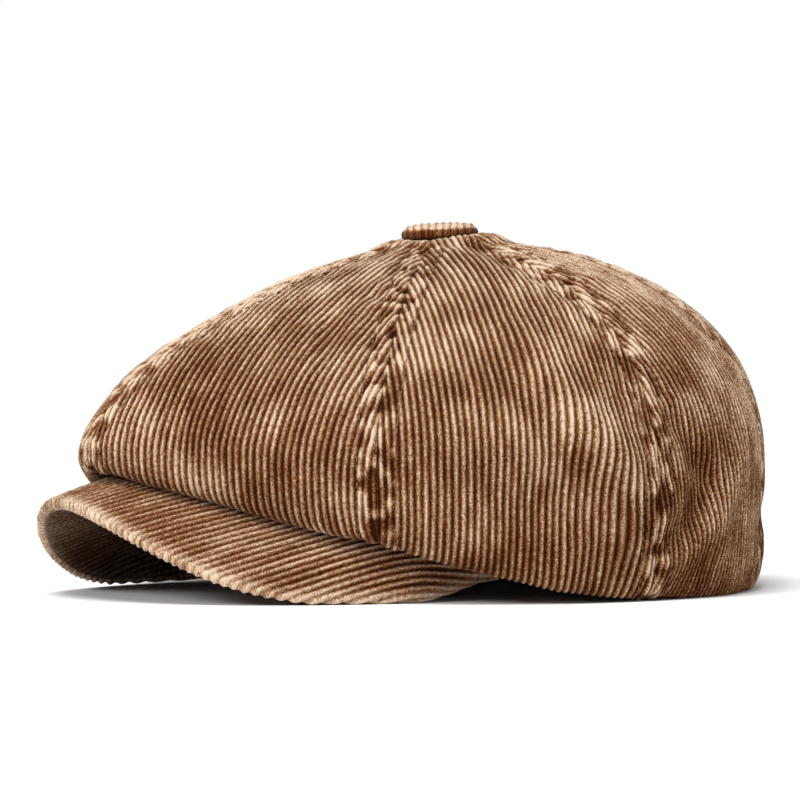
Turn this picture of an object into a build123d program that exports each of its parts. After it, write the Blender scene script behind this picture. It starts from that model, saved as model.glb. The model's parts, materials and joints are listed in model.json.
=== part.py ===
from build123d import *

import os
from math import acos, asin, ceil, cos, hypot, pi, radians, sin, sqrt

# Eight-panel newsboy cap in wide-wale corduroy, lying on a table as it rests
# on the back of its crown and on the two sides of its arched peak.
# Millimetres. +Z is up and z = 0 is the table. The peak points along -Y and
# the wearer's left is +X. The origin is under the middle of the cap.
#
# Every soft part is described in upright planes through the button's axis.
# An angle of 0 looks straight ahead over the peak, 90 degrees over the
# wearer's left ear and 180 degrees straight back. In such a plane a point is
# (r, z): its distance from the button's axis and its height.

# ---- crown ----
CROWN_RADIUS = 130.0        # the crown's widest, at its sides and back
CROWN_HEIGHT = 139.0        # top of the crown cloth under the button
WAIST_HEIGHT = 51.0         # where the crown is widest, at the sides and back
WAIST_HEIGHT_FRONT = 57.0   # the same over the peak
DOME_POWER_FRONT = 1.52     # superellipse power of the dome, 2 is an ellipse
DOME_POWER_BACK = 2.30
BEAK_GAIN = 0.30            # how far the front seam is drawn out over the peak
BEAK_SPREAD = radians(40)
BEAK_ROUND = radians(4)
SEAM_ANGLES = [0, 45, 95, 135, 180]   # degrees, the same to the left and right
CROWN_CLOTH = 1.9           # corduroy, from the back to the top of its ribs
CENTRE_HOLE_RADIUS = 3.0    # where the eight points meet round the button's shank

# ---- lower edge of the crown ----
HEM_HEIGHT_FRONT = 34.5     # bottom of the overhanging fold, before the beak's lift
HEM_LIFT_BEAK = 16.0
HEM_POWER = 1.69
HEM_LEVEL_SHIFT = 0.12      # how far past the ears the fold comes down to the table
HEM_ROLL_BACK = 9.0         # how far the fold turns in
HEM_ROLL_FRONT = 8.0
HEM_ROLL_POWER = 2.8
HEM_PRESS = 0.7             # how much the table flattens the fold at the back
HEM_PRESS_REACH = 30.0      # how high up the cloth that is felt
HEM_PRESS_START = radians(85)
HEM_PRESS_FULL = radians(110)

# ---- head opening ----
BAND_HALF_WIDTH = 82.0      # the sewn line round the head opening
BAND_HALF_LENGTH = 96.0
BAND_CENTRE_Y = -16.0       # from the button's axis
BAND_RISE = 10.0            # of that line above the crown's fold
SWEATBAND_HEIGHT = 30.0
SWEATBAND_THICKNESS = 1.4
ELASTIC_ANGLE = 137.0       # degrees, where the elastic at the back begins
STIFFENER_HEIGHT = 24.0
STIFFENER_THICKNESS = 0.7
STIFFENER_LIFT = 2.0        # over the sewn line
STIFFENER_END = 178         # degrees, it is open at the very back
BAND_GAP = 0.25             # between the layers round the opening

# ---- lining ----
LINING_THICKNESS = 0.6
LINING_DEPTH = 6.5          # under the outer face of the crown
LINING_FLARE = 7.0          # how far it stands off the band where it turns out
LINING_FLARE_SHARE = 0.9    # the height of that place, in sweatband heights
LINING_STANDOFF = 2.0       # beside the sweatband
LINING_BAND_SHARES = [0.6, 0.35, 0.1]   # heights of its points beside the sweatband
LINING_DOME_SHARE = 0.86    # how far down the crown's curve the lining follows it
LINING_CENTRE_RADIUS = 4.0

# ---- peak ----
PEAK_HALF_WIDTH = 89.5      # ellipse of the peak's outer edge, seen from above
PEAK_HALF_LENGTH = 132.0
PEAK_CENTRE_Y = -40.5
PEAK_EDGE_HEIGHT = 36.0     # how high the arch lifts the middle of the edge
PEAK_ARCH_HALF_WIDTH = 76.5
PEAK_EDGE_LIFT = 3.15       # lets the rolled edge just touch the table
PEAK_ARCH_POWER = 1.4
PEAK_END_ANGLE = 70         # degrees, where the peak's two ends are
PEAK_END_WIDTH = 4.5
PEAK_END_HEIGHT = 7.0
PEAK_TAPER_START = radians(50)
PEAK_TOP_CLOTH = 1.9
PEAK_BOARD = 1.6
PEAK_UNDER_CLOTH = 1.7
PEAK_CLEARANCE = 1.0        # under the crown's fold
PEAK_INSET = 2.2            # from the sewn line to the peak's inner edge
PEAK_SHORT_REACH = 12.0     # past the fold, a shorter peak has no bend
PEAK_BEND_MIDDLE = 0.62     # where the peak bends down, as a share of its width
PEAK_BEND_SIDE = 0.93
PEAK_BEND_SPREAD = radians(38)
PEAK_BOARD_STOP = 5         # degrees the board ends short of the peak's ends
PEAK_ROLL_AHEAD = 1.4       # of the peak's outer line, where its cloth rolls over

# ---- button ----
BUTTON_RADIUS = 15.0
BUTTON_HEIGHT = 5.6
BUTTON_CLOTH = 1.4
BUTTON_TILT = 3.0           # degrees towards the peak, as the crown's top slopes
BUTTON_STANDOFF = 0.6
BUTTON_PROFILE = [(0.985, 0.45), (0.86, 0.82), (0.5, 0.97)]   # over its rim, as shares
BUTTON_RIM_SHARE = 0.25     # height of the widest line
BUTTON_FOOT_SHARE = 0.96
BUTTON_CREST_SHARE = 0.1
MOULD_HOLLOW = 1.6          # over the back plate
MOULD_WALL = 1.2
BACK_PLATE_THICKNESS = 1.0
SHANK_RADIUS = 1.6
SHANK_CLEARANCE = 0.3
STACK_PLAY = 1.9            # slack of the layers between the button and the washer
RIVET_GAP = 0.5             # under the washer
WASHER_RADIUS = 7.0
WASHER_THICKNESS = 1.0
RIVET_RADIUS = 3.6
RIVET_THICKNESS = 0.9

# ---- how the surfaces are made ----
ANGLE_STEP = 5              # degrees between neighbouring sections
PEAK_REFERENCE = radians(25)   # the section that sets the peak's spline spacing
TABLE_SIZE = 800.0

PEAK_THICKNESS = PEAK_TOP_CLOTH + PEAK_BOARD + PEAK_UNDER_CLOTH
PEAK_REACH = PEAK_HALF_LENGTH - PEAK_CENTRE_Y
AXIS_Y = (PEAK_REACH + PEAK_ROLL_AHEAD - CROWN_RADIUS) / 2   # puts the origin mid-length


# ---------------------------------------------------------------- formulas

def between(start, end, share):
    """The value at that share of the way from start to end."""
    return start + (end - start) * share


def ease(low, high, value):
    """A smooth step from 0 at low to 1 at high."""
    share = min(max((value - low) / (high - low), 0.0), 1.0)
    return share * share * (3 - 2 * share)


def facing(angle):
    """1 straight ahead, 0 straight back."""
    return (1 + cos(angle)) / 2


def beak(angle):
    """1 on the front seam, 0 beyond the beak's spread."""
    offset = sqrt(angle * angle + BEAK_ROUND * BEAK_ROUND)
    return max(0.0, 1 - offset / BEAK_SPREAD) ** 2


def ellipse_reach(angle, half_width, half_length, centre_y):
    """Distance from the button's axis to an ellipse seen from above."""
    ahead = cos(angle)
    square = (sin(angle) / half_width) ** 2 + (ahead / half_length) ** 2
    half_linear = ahead * centre_y / half_length ** 2
    constant = (centre_y / half_length) ** 2 - 1
    return (-half_linear + sqrt(half_linear ** 2 - square * constant)) / square


def crown_radius(angle):
    return CROWN_RADIUS * (1 + BEAK_GAIN * beak(angle))


def waist_height(angle):
    return between(WAIST_HEIGHT, WAIST_HEIGHT_FRONT, facing(angle) ** 3)


def hem_height(angle):
    """Height of the lowest line of the crown's fold."""
    level = max(0.0, (cos(angle) + HEM_LEVEL_SHIFT) / (1 + HEM_LEVEL_SHIFT))
    return HEM_HEIGHT_FRONT * level ** HEM_POWER + HEM_LIFT_BEAK * beak(angle)


def hem_roll(angle):
    return between(HEM_ROLL_BACK, HEM_ROLL_FRONT, facing(angle) ** 2)


def band_radius(angle):
    return ellipse_reach(angle, BAND_HALF_WIDTH, BAND_HALF_LENGTH, BAND_CENTRE_Y)


def band_height(angle):
    return hem_height(angle) + BAND_RISE


def peak_radius(angle):
    """Distance to the peak's outer edge, drawn in towards its two ends."""
    full = ellipse_reach(angle, PEAK_HALF_WIDTH, PEAK_HALF_LENGTH, PEAK_CENTRE_Y)
    end = band_radius(angle) + PEAK_END_WIDTH
    return between(full, end, ease(PEAK_TAPER_START, radians(PEAK_END_ANGLE), abs(angle)))


def peak_edge_height(angle):
    across = min(abs(peak_radius(angle) * sin(angle)) / PEAK_ARCH_HALF_WIDTH, 1.0)
    arch = PEAK_EDGE_HEIGHT * cos(across * pi / 2) ** PEAK_ARCH_POWER
    end = PEAK_END_HEIGHT * ease(PEAK_TAPER_START, radians(PEAK_END_ANGLE), abs(angle))
    return PEAK_EDGE_LIFT + arch + end


# ------------------------------------------------ lines in an upright plane

def dome_point(angle, share):
    """A point of the crown's outer face from its top (0) to its waist (1)."""
    power = between(DOME_POWER_BACK, DOME_POWER_FRONT, facing(angle))
    turn = share * pi / 2
    waist = waist_height(angle)
    r = crown_radius(angle) * sin(turn) ** (2 / power)
    z = waist + (CROWN_HEIGHT - waist) * max(cos(turn), 0.0) ** (2 / power)
    return r, z


def roll_point(angle, share):
    """A point of the crown's fold from its waist (0) to its lowest line (1)."""
    turn = share * pi / 2
    roll = hem_roll(angle)
    waist = waist_height(angle)
    r = crown_radius(angle) - roll + roll * max(cos(turn), 0.0) ** (2 / HEM_ROLL_POWER)
    z = waist - (waist - hem_height(angle)) * sin(turn) ** (2 / HEM_ROLL_POWER)
    return r, z


def tuck_point(angle, share):
    """A point of the cloth tucked in from the fold (0) to the sewn line (1)."""
    r = between(crown_radius(angle) - hem_roll(angle), band_radius(angle), share)
    return r, between(hem_height(angle), band_height(angle), share)


def dome_start(angle, radius):
    """The share of the dome at which it is that far from the axis."""
    power = between(DOME_POWER_BACK, DOME_POWER_FRONT, facing(angle))
    return asin((radius / crown_radius(angle)) ** (power / 2)) / (pi / 2)


def dome_share_at(angle, height):
    """The share of the dome at which it has come down to that height."""
    power = between(DOME_POWER_BACK, DOME_POWER_FRONT, facing(angle))
    waist = waist_height(angle)
    rise = max(0.0, (height - waist) / (CROWN_HEIGHT - waist))
    return acos(rise ** (power / 2)) / (pi / 2)


def crown_line(angle):
    """The crown's outer face from the button to the sewn line."""
    first = dome_start(angle, CENTRE_HOLE_RADIUS)
    points = [dome_point(angle, between(first, 1, i / 9)) for i in range(10)]
    points += [roll_point(angle, share) for share in (0.3, 0.55, 0.8, 1.0)]
    points += [tuck_point(angle, share) for share in (0.25, 0.6, 1.0)]
    return points


def lining_line(angle):
    """The lining's outer face from the top, inside the crown, to the sewn line."""
    band, low = band_radius(angle), band_height(angle)
    flare_z = low + LINING_FLARE_SHARE * SWEATBAND_HEIGHT
    first = dome_start(angle, LINING_CENTRE_RADIUS)
    last = min(LINING_DOME_SHARE, dome_share_at(angle, flare_z + 2 * LINING_DEPTH))
    dome = [dome_point(angle, between(first, last, i / 8)) for i in range(9)]
    points = offset_line(dome, LINING_DEPTH)
    points.append((band + LINING_FLARE, flare_z))
    for share in LINING_BAND_SHARES:
        points.append((band + LINING_STANDOFF, low + share * SWEATBAND_HEIGHT))
    return points


def peak_line(angle):
    """The peak's upper face from its inner edge to its outer edge."""
    start_r = band_radius(angle) + PEAK_INSET
    end_r, end_z = peak_radius(angle), peak_edge_height(angle)
    hem_r = crown_radius(angle) - hem_roll(angle)
    slope = BAND_RISE / (hem_r - band_radius(angle))
    reach = between(PEAK_BEND_MIDDLE, PEAK_BEND_SIDE, ease(0, PEAK_BEND_SPREAD, abs(angle)))
    bend_r = between(start_r, end_r, reach)
    top_z = band_height(angle) - PEAK_CLEARANCE
    start_z = top_z - slope * PEAK_INSET
    bend_z = top_z - slope * (bend_r - band_radius(angle))
    if end_r < hem_r + PEAK_SHORT_REACH:
        bend_z = min(bend_z, start_z)
    points = []
    for i in range(9):
        v = i / 8
        r = start_r * (1 - v) ** 2 + 2 * bend_r * v * (1 - v) + end_r * v * v
        z = start_z * (1 - v) ** 2 + 2 * bend_z * v * (1 - v) + end_z * v * v
        points.append((r, z))
    return points


def offset_line(points, depth):
    """The same line moved that far to its inner side, its right hand."""
    moved = []
    last = len(points) - 1
    for i, (r, z) in enumerate(points):
        before, after = points[max(i - 1, 0)], points[min(i + 1, last)]
        dr, dz = after[0] - before[0], after[1] - before[1]
        length = hypot(dr, dz)
        moved.append((r + dz / length * depth, z - dr / length * depth))
    return moved


# ------------------------------------------------------------- solid making

def place(angle, point):
    r, z = point
    return Vector(r * sin(angle), AXIS_Y - r * cos(angle), z)


def line_knots(points):
    """Spline parameters in step with the distances between the points."""
    steps = [hypot(b[0] - a[0], b[1] - a[1]) for a, b in zip(points, points[1:])]
    total = sum(steps)
    knots = [0.0]
    for step in steps:
        knots.append(knots[-1] + step / total)
    knots[-1] = 1.0
    return knots


def smooth_edge(angle, points, knots):
    return Edge.make_spline([place(angle, p) for p in points], parameters=knots)


def layer_section(angle, outer, inner, outer_knots, inner_knots):
    """The closed outline of one layer of cloth in the plane at that angle."""
    top = smooth_edge(angle, outer, outer_knots)
    bottom = smooth_edge(angle, inner[::-1], [1 - k for k in inner_knots[::-1]])
    end = Edge.make_line(place(angle, outer[-1]), place(angle, inner[-1]))
    start = Edge.make_line(place(angle, inner[0]), place(angle, outer[0]))
    return Wire([top, end, bottom, start])


def layer_solid(line, thickness, angles, reference):
    """One layer of cloth that follows line(angle) through all the angles."""
    outer_knots = line_knots(line(reference))
    inner_knots = line_knots(offset_line(line(reference), thickness))
    sections = []
    for angle in angles:
        outer = line(angle)
        inner = offset_line(outer, thickness)
        sections.append(layer_section(angle, outer, inner, outer_knots, inner_knots))
    return Solid.make_loft(sections, ruled=True)


def spread(start, end):
    """Evenly spaced angles, in radians, from start to end degrees."""
    count = max(2, ceil(abs(end - start) / ANGLE_STEP))
    return [radians(between(start, end, i / count)) for i in range(count + 1)]


# -------------------------------------------------------------------- parts

def panel_names():
    """Name, first and last angle of each of the eight gores."""
    places = ["front", "front_side", "rear_side", "rear"]
    for side, sign in (("left", 1), ("right", -1)):
        for i, spot in enumerate(places):
            yield f"{spot}_{side}", sign * SEAM_ANGLES[i], sign * SEAM_ANGLES[i + 1]


def above_table(solid):
    """The part of a solid over the table, which presses the fold flat."""
    table = Pos(0, 0, CROWN_HEIGHT) * Box(TABLE_SIZE, TABLE_SIZE, 2 * CROWN_HEIGHT)
    return solid & table


def crown_panel(start, end):
    def pressed_line(angle):
        sink = HEM_PRESS * ease(HEM_PRESS_START, HEM_PRESS_FULL, abs(angle))
        return [(r, z - sink * ease(HEM_PRESS_REACH, 0, z)) for r, z in crown_line(angle)]

    return above_table(layer_solid(pressed_line, CROWN_CLOTH, spread(start, end), pi / 2))


def lining_gore(start, end):
    return layer_solid(lining_line, LINING_THICKNESS, spread(start, end), pi / 2)


def upright_band(start, end, inset, lift, height, thickness):
    """A strip that stands round the head opening between two angles."""
    sections = []
    for angle in spread(start, end):
        outer, low = band_radius(angle) - inset, band_height(angle) + lift
        inner, high = outer - thickness, low + height
        corners = [(outer, low), (outer, high), (inner, high), (inner, low)]
        sections.append(Wire.make_polygon([place(angle, c) for c in corners]))
    return Solid.make_loft(sections, ruled=True)


def headband_stiffener():
    """The tape sewn between the lining and the sweatband, open at the back."""
    left = upright_band(
        0, STIFFENER_END, 0.0, STIFFENER_LIFT, STIFFENER_HEIGHT, STIFFENER_THICKNESS
    )
    return left + left.mirror(Plane.YZ)


def sweatband(start, end):
    inset = STIFFENER_THICKNESS + BAND_GAP
    return upright_band(start, end, inset, 0.0, SWEATBAND_HEIGHT, SWEATBAND_THICKNESS)


def peak_angles():
    return spread(-PEAK_END_ANGLE, PEAK_END_ANGLE)


def peak_layer(depth, thickness, angles):
    """One flat layer of the peak, that far under its upper face."""
    def line(angle):
        return offset_line(peak_line(angle), depth)

    return layer_solid(line, thickness, angles, PEAK_REFERENCE)


def peak_board():
    """The bendable board, which stops short of the peak's two pointed ends."""
    ends = PEAK_END_ANGLE - PEAK_BOARD_STOP
    return peak_layer(PEAK_TOP_CLOTH, PEAK_BOARD, spread(-ends, ends))


def peak_under_cover():
    return peak_layer(PEAK_TOP_CLOTH + PEAK_BOARD, PEAK_UNDER_CLOTH, peak_angles())


def nose_points(angle):
    """The rolled edge in which the upper cloth wraps the board, from its top."""
    line = peak_line(angle)
    (before_r, before_z), (top_r, top_z) = line[-2], line[-1]
    length = hypot(top_r - before_r, top_z - before_z)
    ahead = ((top_r - before_r) / length, (top_z - before_z) / length)
    low_r, low_z = offset_line(line, PEAK_THICKNESS)[-1]
    middle_r, middle_z = (top_r + low_r) / 2, (top_z + low_z) / 2
    points = []
    for i in range(5):
        turn = i / 4 * pi
        out, up = sin(turn) * PEAK_THICKNESS / 2, cos(turn)
        r = middle_r + ahead[0] * out + up * (top_r - middle_r)
        z = middle_z + ahead[1] * out + up * (top_z - middle_z)
        points.append((r, z))
    return points


def peak_top_cover():
    """The upper cloth of the peak, with its rolled edge, as one layer."""
    def inner_line(angle):
        return offset_line(peak_line(angle), PEAK_TOP_CLOTH)

    knots = line_knots(peak_line(PEAK_REFERENCE))
    inner_knots = line_knots(inner_line(PEAK_REFERENCE))
    sections = []
    for angle in peak_angles():
        outer, inner, nose = peak_line(angle), inner_line(angle), nose_points(angle)
        top = smooth_edge(angle, outer, knots)
        roll = smooth_edge(angle, nose, [0, 0.25, 0.5, 0.75, 1])
        back = Edge.make_line(place(angle, nose[-1]), place(angle, inner[-1]))
        bottom = smooth_edge(angle, inner[::-1], [1 - k for k in inner_knots[::-1]])
        start = Edge.make_line(place(angle, inner[0]), place(angle, outer[0]))
        sections.append(Wire([top, roll, back, bottom, start]))
    return Solid.make_loft(sections, ruled=True)


def button_frame():
    """The plane under the button, tipped a little towards the peak."""
    base = Plane(origin=(0, AXIS_Y, CROWN_HEIGHT + BUTTON_STANDOFF))
    return base.rotated((BUTTON_TILT, 0, 0))


def button_dome(radius, height):
    """A low dome with a rounded rim, standing on the button's plane."""
    foot_r, crest_r = BUTTON_FOOT_SHARE * radius, BUTTON_CREST_SHARE * radius
    side = (radius, 0, BUTTON_RIM_SHARE * height)
    points = [side] + [(share * radius, 0, rise * height) for share, rise in BUTTON_PROFILE]
    points.append((crest_r, 0, height))
    edge = Edge.make_spline([Vector(p) for p in points], tangents=[(0, 0, 1), (-1, 0, 0)])
    foot = Edge.make_line((0, 0, 0), (foot_r, 0, 0))
    turn = Edge.make_line((foot_r, 0, 0), side)
    crest = Edge.make_line((crest_r, 0, height), (0, 0, height))
    axis = Edge.make_line((0, 0, height), (0, 0, 0))
    return revolve(Face(Wire([foot, turn, edge, crest, axis])), Axis.Z)


def disc(radius, thickness, height):
    """A disc with its lower face at that height over the button's plane."""
    return Pos(0, 0, height + thickness / 2) * Cylinder(radius, thickness)


def washer_drop():
    """From the button's plane down to the washer's lower face."""
    return LINING_DEPTH + LINING_THICKNESS + WASHER_THICKNESS + STACK_PLAY


def button_parts():
    """The covered button and the rivet that holds it, in the button's plane."""
    mould_radius = BUTTON_RADIUS - BUTTON_CLOTH
    mould = button_dome(mould_radius, BUTTON_HEIGHT - BUTTON_CLOTH)
    back = disc(mould_radius - MOULD_WALL, BACK_PLATE_THICKNESS, 0)
    cover = button_dome(BUTTON_RADIUS, BUTTON_HEIGHT) - mould
    shell = mould - disc(mould_radius - MOULD_WALL, BACK_PLATE_THICKNESS + MOULD_HOLLOW, 0)
    shank_drop = washer_drop() + RIVET_GAP
    shank = disc(SHANK_RADIUS, shank_drop, -shank_drop)
    rivet = disc(RIVET_RADIUS, RIVET_THICKNESS, -shank_drop - RIVET_THICKNESS)
    return {
        "button_cover": cover,
        "button_mould": shell,
        "button_back_plate": back,
        "button_shank": shank + rivet,
    }


def backing_washer():
    """The washer inside the crown, between the lining and the rivet."""
    low = -washer_drop()
    ring = disc(WASHER_RADIUS, WASHER_THICKNESS, low)
    hole_radius = SHANK_RADIUS + SHANK_CLEARANCE
    return ring - disc(hole_radius, 3 * WASHER_THICKNESS, low - WASHER_THICKNESS)


def build():
    """Every named part of the cap."""
    parts = {}
    for name, start, end in panel_names():
        parts[f"crown_panel_{name}"] = crown_panel(start, end)
        parts[f"lining_gore_{name}"] = lining_gore(start, end)
    parts["headband_stiffener"] = headband_stiffener()
    parts["sweatband"] = sweatband(-ELASTIC_ANGLE, ELASTIC_ANGLE)
    parts["sweatband_elastic"] = sweatband(ELASTIC_ANGLE, 360 - ELASTIC_ANGLE)
    parts["peak_top_cover"] = peak_top_cover()
    parts["peak_board"] = peak_board()
    parts["peak_under_cover"] = peak_under_cover()
    frame = button_frame().location
    for name, solid in button_parts().items():
        parts[name] = frame * solid
    parts["backing_washer"] = frame * backing_washer()
    return parts


os.makedirs("parts", exist_ok=True)
for part_name, part_shape in build().items():
    export_step(part_shape, f"parts/{part_name}.step")
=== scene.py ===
import json
from math import cos, pi, radians, sin

import bpy
import numpy as np
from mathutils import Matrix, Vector


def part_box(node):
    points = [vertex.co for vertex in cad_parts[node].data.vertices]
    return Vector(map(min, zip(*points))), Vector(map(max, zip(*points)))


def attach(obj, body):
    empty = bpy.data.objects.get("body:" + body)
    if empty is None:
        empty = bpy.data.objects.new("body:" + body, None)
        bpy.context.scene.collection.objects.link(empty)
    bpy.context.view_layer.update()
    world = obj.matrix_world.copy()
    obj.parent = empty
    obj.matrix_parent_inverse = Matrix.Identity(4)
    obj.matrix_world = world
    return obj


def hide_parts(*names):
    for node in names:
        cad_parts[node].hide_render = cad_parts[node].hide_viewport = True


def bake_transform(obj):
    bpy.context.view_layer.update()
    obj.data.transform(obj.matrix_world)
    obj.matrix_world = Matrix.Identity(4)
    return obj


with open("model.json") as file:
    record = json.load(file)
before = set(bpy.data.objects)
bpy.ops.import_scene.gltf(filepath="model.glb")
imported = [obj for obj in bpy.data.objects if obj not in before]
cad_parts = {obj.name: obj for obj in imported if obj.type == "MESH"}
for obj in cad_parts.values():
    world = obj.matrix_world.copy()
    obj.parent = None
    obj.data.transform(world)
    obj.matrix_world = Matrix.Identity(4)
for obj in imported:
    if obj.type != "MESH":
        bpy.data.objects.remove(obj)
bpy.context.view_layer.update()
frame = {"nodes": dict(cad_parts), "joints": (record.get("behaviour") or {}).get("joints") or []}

# Looks of an eight-panel newsboy cap in washed wide-wale corduroy.
# Sizes are in millimetres and angles in radians, as in the CAD model: an angle
# of 0 looks over the peak, +90 degrees over the wearer's left ear. A point of
# the cloth is worked out in the upright plane at its angle, as (r, z).

MM = 0.001
JOINTS = {joint["name"]: joint for joint in frame["joints"]}
AXIS_Y = JOINTS["button_spin"]["pos_m"][1] / MM

# -- the crown's shape --
CROWN_RADIUS = 130.0
CROWN_HEIGHT = 139.0
WAIST_BACK, WAIST_FRONT = 51.0, 57.0
DOME_POWER_FRONT, DOME_POWER_BACK = 1.52, 2.30
BEAK_GAIN, BEAK_SPREAD, BEAK_ROUND = 0.30, radians(40), radians(4)
SEAM_ANGLES = [0, 45, 95, 135, 180]
CENTRE_HOLE_RADIUS = 3.0
HEM_FRONT, HEM_LIFT_BEAK, HEM_POWER, HEM_LEVEL_SHIFT = 34.5, 16.0, 1.69, 0.12
HEM_ROLL_BACK, HEM_ROLL_FRONT, HEM_ROLL_POWER, HEM_PRESS = 9.0, 8.0, 2.8, 0.7

# -- the head opening, lining and peak --
BAND_HALF_WIDTH, BAND_HALF_LENGTH, BAND_CENTRE_Y, BAND_RISE = 82.0, 96.0, -16.0, 10.0
SWEATBAND_HEIGHT, SWEATBAND_THICKNESS, ELASTIC_ANGLE = 30.0, 1.4, radians(137)
STIFFENER_HEIGHT, STIFFENER_THICKNESS, BAND_GAP = 24.0, 0.7, 0.25
LINING_THICKNESS, LINING_DEPTH, LINING_FLARE, LINING_STANDOFF = 0.6, 6.5, 7.0, 2.0
LINING_DOME_SHARE, LINING_CENTRE_RADIUS, LINING_FLARE_SHARE = 0.86, 4.0, 0.9
PEAK_HALF_WIDTH, PEAK_HALF_LENGTH, PEAK_CENTRE_Y = 89.5, 132.0, -40.5
PEAK_EDGE_HEIGHT, PEAK_ARCH_HALF_WIDTH, PEAK_ARCH_POWER = 36.0, 76.5, 1.4
PEAK_EDGE_LIFT, PEAK_END_WIDTH, PEAK_END_HEIGHT = 3.15, 4.5, 7.0
PEAK_TAPER_START, PEAK_END_ANGLE = radians(50), radians(70)
PEAK_CLEARANCE, PEAK_INSET, PEAK_THICKNESS = 1.0, 2.2, 5.2
PEAK_TOP_CLOTH, PEAK_BOARD, PEAK_UNDER_CLOTH = 1.9, 1.6, 1.7
PEAK_BEND_FRONT, PEAK_BEND_SIDE, PEAK_BEND_TURN = 0.62, 0.93, radians(38)
PEAK_SHORT_REACH = 12.0
HEM_PRESS_START, HEM_PRESS_FULL, HEM_PRESS_REACH = radians(85), radians(110), 30.0
STIFFENER_LIFT, STIFFENER_END = 2.0, radians(178)
BUTTON_RADIUS, BUTTON_HEIGHT, BUTTON_CLOTH = 15.0, 5.6, 1.4

# -- the cloth --
WALE_PITCH = 2.78  # from one rib to the next
WALE_DEPTH = 0.95  # from a rib's top to the bottom of its groove
WALE_FULLNESS = 0.75  # below 1, the ribs are wider than the grooves
CROWN_CLOTH = 1.9
TOPSTITCH_OFFSET = 7.5  # of each row beside a seam
STITCH_LENGTH, STITCH_GAP, THREAD_RADIUS = 2.5, 0.7, 0.24
BUTTON_GRAIN = radians(55)  # the button's ribs run at a right angle to this direction

# -- how finely the cloth is modelled --
COARSER = 4  # the hidden face has a point for each 4th of the shown one
POINTS_PER_WALE = 6.2  # across the crown's ribs
CROWN_ROWS, TUCK_ROWS, LINING_ROWS, STRIP_ROWS = 205, 24, 121, 25
LINING_COLUMNS, SWEATBAND_COLUMNS, ELASTIC_COLUMNS, STIFFENER_COLUMNS = 41, 281, 561, 201
PEAK_TOP_ROWS, PEAK_TOP_COLUMNS, NOSE_ROWS = 133, 485, 20
PEAK_UNDER_ROWS, PEAK_UNDER_COLUMNS = 93, 361
BUTTON_ROWS, BUTTON_COLUMNS = 150, 144
CROWN_STEPS, PEAK_STEPS, LINING_STEPS = 260, 90, 60  # along a curve, before evening out

INSIDE = np.array([0.0, AXIS_Y, 40.0])  # in the cap's hollow
LATTICE_SIZE = 128
LATTICE = np.random.default_rng(11).uniform(-1, 1, (LATTICE_SIZE, LATTICE_SIZE))


# -- numbers --

def between(start, end, share):
    return start + (end - start) * share


def ease(low, high, value):
    """A smooth step from 0 at low to 1 at high."""
    share = np.clip((value - low) / (high - low), 0, 1)
    return share * share * (3 - 2 * share)


def bell(distance, width):
    return np.exp(-(distance / width) ** 2)


def noise(x, y=0.0):
    """Smooth random values from -1 to 1 that change over about one unit.

    So noise(x / 20) changes over about 20 mm."""
    x, y = np.broadcast_arrays(np.asarray(x, float), np.asarray(y, float))
    left, low = np.floor(x).astype(int), np.floor(y).astype(int)
    fx, fy = x - left, y - low
    fx, fy = fx * fx * (3 - 2 * fx), fy * fy * (3 - 2 * fy)
    i, j = left % LATTICE_SIZE, low % LATTICE_SIZE
    i2, j2 = (left + 1) % LATTICE_SIZE, (low + 1) % LATTICE_SIZE
    bottom = LATTICE[i, j] * (1 - fx) + LATTICE[i2, j] * fx
    top = LATTICE[i, j2] * (1 - fx) + LATTICE[i2, j2] * fx
    return bottom * (1 - fy) + top * fy


# -- the CAD's formulas --

def facing(angle):
    """1 straight ahead, 0 straight back."""
    return (1 + np.cos(angle)) / 2


def beak(angle):
    offset = np.sqrt(angle * angle + BEAK_ROUND ** 2)
    return np.clip(1 - offset / BEAK_SPREAD, 0, None) ** 2


def ellipse_reach(angle, half_width, half_length, centre_y):
    """Distance from the button's axis to an ellipse seen from above."""
    ahead = np.cos(angle)
    square = (np.sin(angle) / half_width) ** 2 + (ahead / half_length) ** 2
    half_linear = ahead * centre_y / half_length ** 2
    constant = (centre_y / half_length) ** 2 - 1
    return (-half_linear + np.sqrt(half_linear ** 2 - square * constant)) / square


def crown_radius(angle):
    return CROWN_RADIUS * (1 + BEAK_GAIN * beak(angle))


def waist_height(angle):
    return between(WAIST_BACK, WAIST_FRONT, facing(angle) ** 3)


def hem_height(angle):
    level = np.clip((np.cos(angle) + HEM_LEVEL_SHIFT) / (1 + HEM_LEVEL_SHIFT), 0, None)
    return HEM_FRONT * level ** HEM_POWER + HEM_LIFT_BEAK * beak(angle)


def hem_roll(angle):
    return between(HEM_ROLL_BACK, HEM_ROLL_FRONT, facing(angle) ** 2)


def band_radius(angle):
    return ellipse_reach(angle, BAND_HALF_WIDTH, BAND_HALF_LENGTH, BAND_CENTRE_Y)


def band_height(angle):
    return hem_height(angle) + BAND_RISE


def peak_radius(angle):
    full = ellipse_reach(angle, PEAK_HALF_WIDTH, PEAK_HALF_LENGTH, PEAK_CENTRE_Y)
    end = band_radius(angle) + PEAK_END_WIDTH
    return between(full, end, ease(PEAK_TAPER_START, PEAK_END_ANGLE, np.abs(angle)))


def peak_edge_height(angle):
    across = np.clip(np.abs(peak_radius(angle) * np.sin(angle)) / PEAK_ARCH_HALF_WIDTH, 0, 1)
    arch = PEAK_EDGE_HEIGHT * np.clip(np.cos(across * pi / 2), 0, 1) ** PEAK_ARCH_POWER
    end = PEAK_END_HEIGHT * ease(PEAK_TAPER_START, PEAK_END_ANGLE, np.abs(angle))
    return PEAK_EDGE_LIFT + arch + end


def dome_power(angle):
    return between(DOME_POWER_BACK, DOME_POWER_FRONT, facing(angle))


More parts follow.
